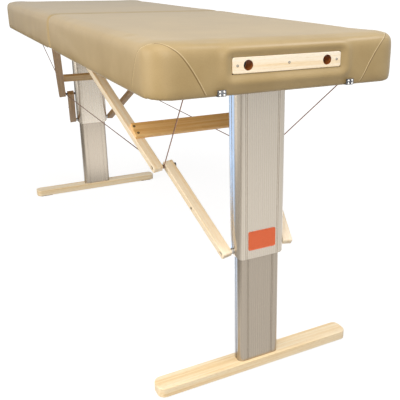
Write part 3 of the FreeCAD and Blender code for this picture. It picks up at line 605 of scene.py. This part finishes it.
def bore_linings():
    """Dark brown on the walls of the two bores for the face rest: painted shade inside the bores.
    """
    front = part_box("face_rest_board")[1].x - BORE_SETBACK
    radius = BORE_RADIUS - LINING_GAP
    linings = []
    for across in (-1, 1):
        clear_selection()
        bpy.ops.mesh.primitive_cylinder_add(vertices=48, radius=radius, depth=BORE_DEEP)
        lining = bpy.context.object
        edit(lining, "FACE", lambda face: abs(face.normal.z) > 0.9)
        bpy.ops.mesh.delete(type="FACE")
        bpy.ops.mesh.select_all(action="SELECT")
        bpy.ops.mesh.flip_normals()
        leave()
        place = Vector((front - BORE_DEEP / 2, BORE_PLACE.y * across, BORE_PLACE.z))
        lining.data.transform(Matrix.Translation(place) @ Matrix.Rotation(math.pi / 2, 4, "Y"))
        smooth_shaded(lining)
        linings.append(lining)
    both = joined("face_rest_bore_linings", linings)
    finish_piece(both, "near_panel", SHADED_BORE_WALLS)


def strut_screws():
    """One small screw half way along the outer face of each lower strut."""
    face_y = (KNEE_LOWER_Y + ANKLE_LOWER_Y + STRUT_WIDE) / 2
    for half in HALVES:
        low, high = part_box(half + "_lower_struts")
        middle = (low + high) / 2
        heads = []
        for across in (-1, 1):
            place = Vector((middle.x, face_y * across, middle.z))
            heads.append(screws("strut_screw", [place], Vector((0, across, 0))))
        heads = joined(half + "_strut_screws", heads)
        finish_piece(heads, half + "_lower_brace", DARK_BOLT)


def catch_studs():
    """Polished domes on the four bosses of each catch plate."""
    for half, forward in HALVES.items():
        low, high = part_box(half + "_catches")
        tall = high.z - low.z
        front = high.x if half == "near" else low.x
        domes = []
        for across in (-1, 1):
            middle_y = across * (high.y - CATCH_WIDE / 2)
            for row in (0.25, 0.75):
                for column in (-0.25, 0.25):
                    place = Vector((front, middle_y + column * CATCH_WIDE, low.z + row * tall))
                    domes.append(dome(place, Vector((forward, 0, 0)), CATCH_STUD_RADIUS))
        studs = joined(half + "_catch_studs", domes)
        finish_piece(studs, half + "_panel", NICKEL)


def dome(place, outward, radius):
    """A low polished cap standing on a face."""
    clear_selection()
    bpy.ops.mesh.primitive_uv_sphere_add(segments=20, ring_count=10, radius=radius)
    cap = bpy.context.object
    edit(cap, "FACE", lambda face: True)
    bpy.ops.mesh.bisect(plane_co=(0, 0, 0), plane_no=(0, 0, 1), use_fill=True, clear_inner=True)
    leave()
    turn = outward.to_track_quat("Z", "Y").to_matrix().to_4x4()
    flat = Matrix.Scale(STUD_FLATNESS, 4, Vector((0, 0, 1)))
    cap.data.transform(Matrix.Translation(place) @ turn @ flat)
    smooth_shaded(cap, 40)
    return cap


def joined(name, pieces):
    """Several pieces as one."""
    activate(pieces[0])
    for piece in pieces[1:]:
        piece.select_set(True)
    if len(pieces) > 1:
        bpy.ops.object.join()
    pieces[0].name = name
    return pieces[0]


def badge():
    """Plain enamelled plate with a raised rim on the near column."""
    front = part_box("near_outer_tube")[1].x
    low = Vector((front, -BADGE_SIZE.y / 2, BADGE_HEIGHT - BADGE_SIZE.z / 2))
    plate = box_piece("near_badge", low, low + BADGE_SIZE)

    def along_x(edge):
        return abs(edge.verts[0].co.x - edge.verts[1].co.x) > MM

    edit(plate, "EDGE", along_x)
    bpy.ops.mesh.bevel(offset=BADGE_ROUND, segments=4, affect="EDGES")
    leave()
    edit(plate, "FACE", lambda face: face.normal.x > 0.9)
    bpy.ops.mesh.inset(thickness=BADGE_RIM, depth=0)
    bpy.ops.mesh.inset(thickness=BADGE_STEP, depth=-BADGE_DIP)
    leave()
    smooth_shaded(plate, 30)
    finish_piece(plate, "near_column", ENAMEL)


def finish_piece(piece, body, material=None):
    """Gives a finished piece its material, when one is given, and its body."""
    if material:
        piece.data.materials.clear()
        piece.data.materials.append(material)
    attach(piece, body)


def linear(colour):
    """An sRGB hex colour as linear red, green, blue and alpha."""
    shares = [int(colour[place:place + 2], 16) / 255 for place in (1, 3, 5)]
    return [s / 12.92 if s <= 0.04045 else ((s + 0.055) / 1.055) ** 2.4 for s in shares] + [1]


def connect(tree, node, inputs):
    """Links each named input to another node's output, or sets its value."""
    for socket, value in inputs.items():
        if isinstance(value, bpy.types.NodeSocket):
            tree.links.new(value, node.inputs[socket])
        else:
            node.inputs[socket].default_value = value


def add(tree, kind, inputs=None, stops=(), **settings):
    """A node with its settings, its inputs and, on a ramp, its stops of (position, hex)."""
    node = tree.nodes.new(kind)
    for name, value in settings.items():
        setattr(node, name, value)
    elements = node.color_ramp.elements if stops else ()
    while len(elements) < len(stops):
        elements.new(0.5)
    for element, (position, colour) in zip(elements, stops):
        element.position = position
        element.color = linear(colour)
    connect(tree, node, inputs or {})
    return node


def blank_material(name, **values):
    """A material with its shader's constant sockets set; returns it with its tree and shader."""
    material = bpy.data.materials.new(name)
    material.use_nodes = True
    shader = material.node_tree.nodes["Principled BSDF"]
    for socket, value in values.items():
        shader.inputs[socket.replace("_", " ")].default_value = value
    return material, material.node_tree, shader


def pattern_space(tree, spacing, turn=(0, 0, 0), folded=False):
    """Object coordinates counted in steps of spacing (mm along each turned axis)."""
    place = add(tree, "ShaderNodeTexCoord").outputs["Object"]
    if folded:
        place = add(tree, "ShaderNodeVectorMath", {0: place}, operation="ABSOLUTE").outputs[0]
    scale = [step * MM for step in spacing]
    settings = {"Vector": place, "Rotation": turn, "Scale": scale}
    return add(tree, "ShaderNodeMapping", settings, vector_type="TEXTURE").outputs[0]


def leatherette(name, light, mid, dark):
    """Embossed PVC leatherette: a fine pebble grain, a soft waxy sheen and faint clouding."""
    material, tree, shader = blank_material(name, IOR=1.5, Specular_IOR_Level=0.36)
    clouds = add(tree, "ShaderNodeTexNoise", {
        "Vector": pattern_space(tree, (140, 140, 140)), "Scale": 1, "Detail": 3, "Roughness": 0.6,
    }).outputs["Fac"]
    # The real pebbles are about 0.8 mm; they are drawn at 1.7 mm so that they show
    pebbles = add(tree, "ShaderNodeTexVoronoi", {
        "Vector": pattern_space(tree, (1.7, 1.7, 1.7)), "Scale": 1,
    }, feature="SMOOTH_F1").outputs["Distance"]
    stops = ((0.3, dark), (0.5, mid), (0.72, light))
    tone = add(tree, "ShaderNodeValToRGB", {"Fac": clouds}, stops).outputs["Color"]
    # The grooves between pebbles are painted up to a tenth darker: painted shade in the grain
    groove_shade = {"Value": pebbles, "To Min": 1.0, "To Max": 0.9}
    groove_shade = add(tree, "ShaderNodeMapRange", groove_shade).outputs["Result"]
    groove_shade = add(tree, "ShaderNodeCombineColor", {0: groove_shade, 1: groove_shade, 2: groove_shade}).outputs[0]
    shaded_grain = {"Factor": 1.0, "A": tone, "B": groove_shade}
    shaded_grain = add(tree, "ShaderNodeMix", shaded_grain, data_type="RGBA", blend_type="MULTIPLY")
    gloss = {"Value": clouds, "To Min": 0.34, "To Max": 0.42}
    relief = {"Height": pebbles, "Distance": 0.12 * MM, "Strength": 0.5}
    connect(tree, shader, {
        "Base Color": shaded_grain.outputs["Result"],
        "Roughness": add(tree, "ShaderNodeMapRange", gloss).outputs["Result"],
        "Normal": add(tree, "ShaderNodeBump", relief).outputs[0],
    })
    return material


def planed_wood(name, light, mid, dark, turn=(0, 0, 0), folded=False, roughness=0.42):
    """Planed and lacquered wood: long pale grain, fine dark pores along it and a satin coat."""
    material, tree, shader = blank_material(name, IOR=1.5, Coat_Weight=0.15, Coat_Roughness=0.25)
    grain = add(tree, "ShaderNodeTexNoise", {
        "Vector": pattern_space(tree, (420, 9, 9), turn, folded), "Scale": 1, "Detail": 5,
        "Roughness": 0.55, "Distortion": 0.35,
    }).outputs["Fac"]
    pores = add(tree, "ShaderNodeTexNoise", {
        "Vector": pattern_space(tree, (14, 0.9, 0.9), turn, folded), "Scale": 1, "Detail": 2,
        "Roughness": 0.5,
    }).outputs["Fac"]
    stops = ((0.32, dark), (0.5, mid), (0.68, light))
    tone = add(tree, "ShaderNodeValToRGB", {"Fac": grain}, stops).outputs["Color"]
    stops = ((0.3, "#D9BC8E"), (0.42, "#FFFFFF"))
    fleck = add(tree, "ShaderNodeValToRGB", {"Fac": pores}, stops).outputs["Color"]
    flecked = {"Factor": 0.4, "A": tone, "B": fleck}
    flecked = add(tree, "ShaderNodeMix", flecked, data_type="RGBA", blend_type="MULTIPLY")
    gloss = {"Value": grain, "To Min": roughness - 0.05, "To Max": roughness + 0.1}
    relief = {"Height": pores, "Distance": 0.08 * MM, "Strength": 0.35}
    connect(tree, shader, {
        "Base Color": flecked.outputs["Result"],
        "Roughness": add(tree, "ShaderNodeMapRange", gloss).outputs["Result"],
        "Normal": add(tree, "ShaderNodeBump", relief).outputs[0],
    })
    return material


def extruded_aluminium(name, light, dark, roughness):
    """Anodised extrusion: satin metal with fine flutes and drawing lines along its length."""
    material, tree, shader = blank_material(name, Metallic=0.85)
    lines = add(tree, "ShaderNodeTexNoise", {
        "Vector": pattern_space(tree, (2.2, 2.2, 900)), "Scale": 1, "Detail": 4, "Roughness": 0.7,
    }).outputs["Fac"]
    # A wave's band repeats every pi / 10, so this space gives one flute every 6 mm
    flutes = add(tree, "ShaderNodeTexWave", {
        "Vector": pattern_space(tree, (19.1, 19.1, 19.1)), "Scale": 1,
    }, bands_direction="Y").outputs["Fac"]
    level = add(tree, "ShaderNodeMix", {"Factor": 0.7, "A": lines, "B": flutes}).outputs["Result"]
    gloss = {"Value": lines, "To Min": roughness - 0.02, "To Max": roughness + 0.02}
    relief = {"Height": flutes, "Distance": 0.006 * MM, "Strength": 0.15}
    stops = ((0.2, dark), (0.8, light))
    connect(tree, shader, {
        "Base Color": add(tree, "ShaderNodeValToRGB", {"Fac": level}, stops).outputs["Color"],
        "Roughness": add(tree, "ShaderNodeMapRange", gloss).outputs["Result"],
        "Normal": add(tree, "ShaderNodeBump", relief).outputs[0],
    })
    return material


def bright_metal(name, light, dark, roughness, spangle_mm):
    """Plated or rolled metal: its finish shows as patches of slightly different tone and gloss."""
    material, tree, shader = blank_material(name, Metallic=1.0)
    patches = add(tree, "ShaderNodeTexNoise", {
        "Vector": pattern_space(tree, (spangle_mm,) * 3), "Scale": 1, "Detail": 3, "Roughness": 0.6,
    }).outputs["Fac"]
    gloss = {"Value": patches, "To Min": roughness * 0.8, "To Max": roughness * 1.25}
    relief = {"Height": patches, "Distance": 0.03 * MM, "Strength": 0.3}
    stops = ((0.35, dark), (0.65, light))
    connect(tree, shader, {
        "Base Color": add(tree, "ShaderNodeValToRGB", {"Fac": patches}, stops).outputs["Color"],
        "Roughness": add(tree, "ShaderNodeMapRange", gloss).outputs["Result"],
        "Normal": add(tree, "ShaderNodeBump", relief).outputs[0],
    })
    return material


def moulded(name, light, dark, roughness, grain_mm):
    """Moulded plastic or rubber: an even colour with a fine spark-eroded texture."""
    material, tree, shader = blank_material(name, IOR=1.49)
    grit = add(tree, "ShaderNodeTexNoise", {
        "Vector": pattern_space(tree, (grain_mm,) * 3), "Scale": 1, "Detail": 3, "Roughness": 0.6,
    }).outputs["Fac"]
    gloss = {"Value": grit, "To Min": roughness - 0.08, "To Max": roughness + 0.08}
    relief = {"Height": grit, "Distance": 0.1 * MM, "Strength": 0.4}
    stops = ((0.35, dark), (0.65, light))
    connect(tree, shader, {
        "Base Color": add(tree, "ShaderNodeValToRGB", {"Fac": grit}, stops).outputs["Color"],
        "Roughness": add(tree, "ShaderNodeMapRange", gloss).outputs["Result"],
        "Normal": add(tree, "ShaderNodeBump", relief).outputs[0],
    })
    return material


def grain_turn(direction):
    """Turn that lays the grain along a direction."""
    return tuple(direction.normalized().to_track_quat("X", "Z").to_euler())


def strut_turn(upper, lower, upper_y, lower_y):
    """Grain along a strut of the near half, on the +Y side."""
    return grain_turn(Vector((lower.x - upper.x, lower_y - upper_y, lower.z - upper.z)))


HIP = JOINT_PLACE["near_upper_brace_fold"]
KNEE = JOINT_PLACE["near_lower_brace_fold"]
ANKLE = sum(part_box("near_ankle_studs"), Vector()) / 2
ALONG_UPPER = strut_turn(HIP, KNEE, HIP_UPPER_Y, KNEE_UPPER_Y)
ALONG_LOWER = strut_turn(KNEE, ANKLE, KNEE_LOWER_Y, ANKLE_LOWER_Y)
ACROSS = grain_turn(Vector((0, 1, 0)))
BEECH_TONES = ("#FFF6E2", "#FDEED3", "#F5DCB0")
# A paler copy of the beech for the face-rest board: painted light, for the brighter light on its
# end
LIT_BOARD_TONES = ("#FFF9EA", "#FFF3DC", "#F8E2BB")
FOOT_TONES = ("#FFF2D6", "#FDE9C4", "#F2D6A4")
# Honey tones for the crossbars: partly the wood's own deeper tone, partly painted shade of the top
# above them
HONEY_SHADE_TONES = ("#FFDCA0", "#F8CC8A", "#E9B66C")
PINE_TONES = ("#EBD3A4", "#E0C28C", "#CBA76C")
# Tan tones for the far struts: a darker copy of the beech, painted shade of the far brace under the
# top
SHADE_TAN_TONES = ("#E0BA88", "#D6AC78", "#C6985F")
# Dark browns for the bore walls: painted shade inside the bores
BORE_SHADE_TONES = ("#B0682E", "#9A5722", "#80461A")

UPHOLSTERY = leatherette("upholstery_leatherette", "#B7A177", "#B09A6F", "#A99266")
# Seam tones: the paler bead is a painted highlight and the darker crease is painted shade
SEAM_HIGHLIGHT = leatherette("seam_highlight_leatherette", "#D8C69F", "#D1BE96", "#C9B58C")
SEAM_SHADE = leatherette("seam_shadow_leatherette", "#917C55", "#89734C", "#806A42")
UPPER_BEECH = planed_wood("lacquered_beech_upper_struts", *BEECH_TONES, ALONG_UPPER, folded=True)
LOWER_BEECH = planed_wood("lacquered_beech_lower_struts", *BEECH_TONES, ALONG_LOWER, folded=True)
# The far struts take the tan copy of the beech: painted shade
FAR_UPPER_SHADE_BEECH = planed_wood("shade_painted_beech_upper_struts", *SHADE_TAN_TONES, ALONG_UPPER, folded=True)
FAR_LOWER_SHADE_BEECH = planed_wood("shade_painted_beech_lower_struts", *SHADE_TAN_TONES, ALONG_LOWER, folded=True)
# The face-rest board takes the paler copy of the beech, which is painted light
CROSS_BEECH = planed_wood("lacquered_beech_across", *LIT_BOARD_TONES, ACROSS)
FOOT_BEECH = planed_wood("lacquered_beech_feet", *FOOT_TONES, ACROSS)
# Crossbars: a honey tone that is partly their own and partly painted shade
HONEY_SHADE_BEECH = planed_wood("lacquered_beech_crossbar", *HONEY_SHADE_TONES, ACROSS)
RAIL_PINE = planed_wood("planed_pine_along", *PINE_TONES, roughness=0.6)
CROSS_PINE = planed_wood("planed_pine_across", *PINE_TONES, ACROSS, roughness=0.6)
# Bore walls in dark brown: painted shade
SHADED_BORE_WALLS = planed_wood("painted_shade_bore_walls", *BORE_SHADE_TONES, ACROSS, roughness=0.6)
PLYWOOD = planed_wood("birch_plywood", "#E6D0A6", "#DCC193", "#CDAC79", roughness=0.65)
ALUMINIUM = extruded_aluminium("anodised_aluminium_outer", "#CEC5B8", "#C8BFB1", 0.27)
STEM_ALUMINIUM = extruded_aluminium("anodised_aluminium_inner", "#AFA597", "#A89E90", 0.27)
NICKEL = bright_metal("polished_nickel_studs", "#F6F6F4", "#E6E6E4", 0.3, 3)
ZINC = bright_metal("zinc_plated_steel", "#C2C4C6", "#9EA1A4", 0.38, 4)
MOTOR_STEEL = bright_metal("rolled_steel_motor", "#8A8C90", "#6F7175", 0.42, 9)
SCREW_STEEL = bright_metal("ground_steel_screw", "#B4B6B8", "#94969A", 0.3, 2.5)
DARK_BOLT = bright_metal("blackened_steel_bolt", "#5A5048", "#37302B", 0.42, 3)
CABLE = bright_metal("stranded_steel_cable", "#A67C68", "#6B4A3D", 0.45, 2)
DARK_PLASTIC = moulded("moulded_abs_dark", "#2C2C2E", "#222224", 0.5, 0.9)
DRIVE_PLASTIC = moulded("moulded_acetal_drive", "#D8D4CB", "#C7C2B8", 0.45, 1.2)
RUBBER = moulded("moulded_rubber_foot", "#3A3532", "#2A2624", 0.75, 1.0)
ENAMEL = moulded("orange_enamel_plate", "#EC7040", "#E36636", 0.3, 2)

HALF_FINISH = {
    "deck": PLYWOOD,
    "side_rails": RAIL_PINE,
    "end_rail": CROSS_PINE,
    "cross_boards": CROSS_PINE,
    "column_bracket": ZINC,
    "brace_pins": DARK_BOLT,
    "cable_anchors": ZINC,
    "fold_leaves": ZINC,
    "catches": MOTOR_STEEL,
    "outer_tube": ALUMINIUM,
    "column_head": DRIVE_PLASTIC,
    "pivot_pin": ZINC,
    "gear_motor": MOTOR_STEEL,
    "lead_screw": SCREW_STEEL,
    "glide_collar": ALUMINIUM,
    "inner_tube": STEM_ALUMINIUM,
    "screw_nut": DRIVE_PLASTIC,
    "base_block": MOTOR_STEEL,
    "foot": FOOT_BEECH,
    "foot_pads": RUBBER,
    "upper_struts": UPPER_BEECH,
    "crossbar": HONEY_SHADE_BEECH,
    "lower_struts": LOWER_BEECH,
    "knee_bolts": DARK_BOLT,
    "ankle_studs": ZINC,
}
SINGLE_FINISH = {
    "face_rest_board": CROSS_BEECH,
    "control_case": DARK_PLASTIC,
    "control_cover": DARK_PLASTIC,
    "mains_inlet": DARK_PLASTIC,
    "fold_pins": ZINC,
    # The far struts get the tan copy of the beech, which is painted shade
    "far_upper_struts": FAR_UPPER_SHADE_BEECH,
    "far_lower_struts": FAR_LOWER_SHADE_BEECH,
}


def dress_nodes():
    """Puts each carried-over solid in its finish."""
    finishes = {}
    for half in HALVES:
        for name, material in HALF_FINISH.items():
            finishes[f"{half}_{name}"] = material
    finishes.update(SINGLE_FINISH)
    for name, material in finishes.items():
        NODES[name].data.materials.clear()
        NODES[name].data.materials.append(material)


def camera():
    """The photograph's viewpoint."""
    data = bpy.data.cameras.new("camera")
    data.sensor_width = 36
    data.lens = CAMERA_LENS
    data.shift_x, data.shift_y = CAMERA_SHIFT
    data.clip_end = 200
    item = bpy.data.objects.new("camera", data)
    bpy.context.scene.collection.objects.link(item)
    level = math.cos(CAMERA_PITCH)
    heading = Vector((math.cos(CAMERA_YAW), math.sin(CAMERA_YAW), 0))
    ahead = heading * level + Vector((0, 0, math.sin(CAMERA_PITCH)))
    right = Vector((heading.y, -heading.x, 0))
    turn = Matrix((right, right.cross(ahead), -ahead)).transposed()
    turn = turn @ Matrix.Rotation(CAMERA_ROLL, 3, "Z")
    item.matrix_world = Matrix.Translation(CAMERA_PLACE) @ turn.to_4x4()
    bpy.context.scene.camera = item


def seen_directly(tree):
    """1 on rays from the camera, mirrors and glass, else 0."""
    path = add(tree, "ShaderNodeLightPath")
    first = {0: path.outputs["Is Camera Ray"], 1: path.outputs["Is Glossy Ray"]}
    direct = add(tree, "ShaderNodeMath", first, operation="MAXIMUM").outputs[0]
    second = {0: direct, 1: path.outputs["Is Transmission Ray"]}
    return add(tree, "ShaderNodeMath", second, operation="MAXIMUM").outputs[0]


def lamp(name, place, target, power, size, colour, spread=180):
    """A square soft lamp aimed at a point, with its beam's spread in degrees."""
    data = bpy.data.lights.new(name, "AREA")
    data.energy = power
    data.size = size
    data.spread = math.radians(spread)
    data.color = linear(colour)[:3]
    item = bpy.data.objects.new(name, data)
    item.location = place
    item.rotation_euler = (Vector(target) - Vector(place)).to_track_quat("-Z", "Y").to_euler()
    bpy.context.scene.collection.objects.link(item)
    return item


def sky_lamp():
    """A tall bluish softbox beside the near column, for the sheen on its narrow side."""
    place = SOFTBOX_AIM + SOFTBOX_SIDE * SOFTBOX_AWAY
    softbox = lamp(
        "sky_lamp", place, SOFTBOX_AIM, SOFTBOX_POWER, SOFTBOX_WIDE, "#90C2FF", SOFTBOX_SPREAD
    )
    softbox.data.shape = "RECTANGLE"
    softbox.data.size_y = SOFTBOX_TALL
    softbox.visible_diffuse = False
    columns = bpy.data.collections.new("column_tubes")
    for half in HALVES:
        columns.objects.link(NODES[half + "_outer_tube"])
        columns.objects.link(NODES[half + "_inner_tube"])
    softbox.light_linking.receiver_collection = columns


def shade_far_brace(*lamps):
    """Keeps the lamps in front off the far brace, which stands in the shade of the top."""
    shaded = bpy.data.collections.new("shaded_brace")
    for name in ("far_upper_struts", "far_lower_struts", "far_crossbar"):
        shaded.objects.link(NODES[name])
    for entry in shaded.collection_objects:
        entry.light_linking.link_state = "EXCLUDE"
    for item in lamps:
        item.light_linking.receiver_collection = shaded


def surround():
    """White all round to the eye and in reflections, but a weak light."""
    world = bpy.data.worlds.new("white_surround")
    bpy.context.scene.world = world
    world.use_nodes = True
    tree = world.node_tree
    strength = {"Value": seen_directly(tree), "To Min": SURROUND_LIGHT, "To Max": 1.0}
    connect(tree, tree.nodes["Background"], {
        "Color": linear("#FFFFFF"),
        "Strength": add(tree, "ShaderNodeMapRange", strength).outputs["Result"],
    })


def studio_floor():
    """Floor that keeps the shadow, fades to white with distance and, in reflections only, glows in
    a painted lane and pool.
    """
    clear_selection()
    bpy.ops.mesh.primitive_plane_add(size=FLOOR_SIZE, location=(0, 0, -FLOOR_DROP))
    floor = bpy.context.object
    floor.name = "studio_floor"
    matt = {"Roughness": 0.9, "Specular_IOR_Level": 0.0}
    material, tree, shader = blank_material("white_studio_floor", **matt)
    path = add(tree, "ShaderNodeLightPath")
    place = add(tree, "ShaderNodeTexCoord").outputs["Object"]
    away = add(tree, "ShaderNodeVectorMath", {0: place}, operation="LENGTH").outputs["Value"]
    seen = add(tree, "ShaderNodeMapRange", {
        "Value": away, "From Min": FLOOR_NEAR, "From Max": FLOOR_FAR,
        "To Min": FLOOR_NEAR_GLOW, "To Max": FLOOR_FAR_GLOW,
    }).outputs["Result"]
    # Painted reflection: in reflections only, the floor glows dimmer in a lane on the left and
    # brighter in a pool under the table, which the metal shows
    across = add(tree, "ShaderNodeSeparateXYZ", {0: place}).outputs["Y"]
    aside = add(tree, "ShaderNodeMath", {0: across, 1: -LANE_Y}, operation="ADD").outputs[0]
    aside = add(tree, "ShaderNodeMath", {0: aside}, operation="ABSOLUTE").outputs[0]
    lane = add(tree, "ShaderNodeMapRange", {
        "Value": aside, "From Min": LANE_INNER, "From Max": LANE_OUTER,
        "To Min": 0.0, "To Max": LANE_SHEEN,
    }).outputs["Result"]
    pool = {0: place, 1: POOL_MIDDLE}
    pool = add(tree, "ShaderNodeVectorMath", pool, operation="DISTANCE").outputs["Value"]
    pool = add(tree, "ShaderNodeMapRange", {
        "Value": pool, "From Min": POOL_INNER, "From Max": POOL_OUTER,
        "To Min": POOL_SHEEN, "To Max": 0.0,
    }).outputs["Result"]
    sheen = add(tree, "ShaderNodeMath", {0: lane, 1: pool}, operation="ADD").outputs[0]
    mirrored = {0: path.outputs["Is Glossy Ray"], 1: sheen}
    mirrored = add(tree, "ShaderNodeMath", mirrored, operation="MULTIPLY").outputs[0]
    glow = {0: path.outputs["Is Camera Ray"], 1: seen, 2: mirrored}
    connect(tree, shader, {
        "Base Color": linear("#9A9A9A"),
        "Emission Color": linear("#FFFFFF"),
        "Emission Strength": add(tree, "ShaderNodeMath", glow, operation="MULTIPLY_ADD").outputs[0],
    })
    floor.data.materials.append(material)


def studio():
    """White floor and surround with soft lamps."""
    bpy.context.scene.view_settings.view_transform = "Standard"
    surround()
    studio_floor()
    sky_lamp()
    lamps = {name: lamp(name, *settings) for name, settings in LAMPS.items()}
    shade_far_brace(lamps["key_lamp"], lamps["window_lamp"])


camera()
near_cushion, far_cushion = cushions()
corner_seams(near_cushion, far_cushion)
stay_cables()
crossbar_screws()
board_screws()
bore_linings()
strut_screws()
catch_studs()
badge()
dress_nodes()
studio()
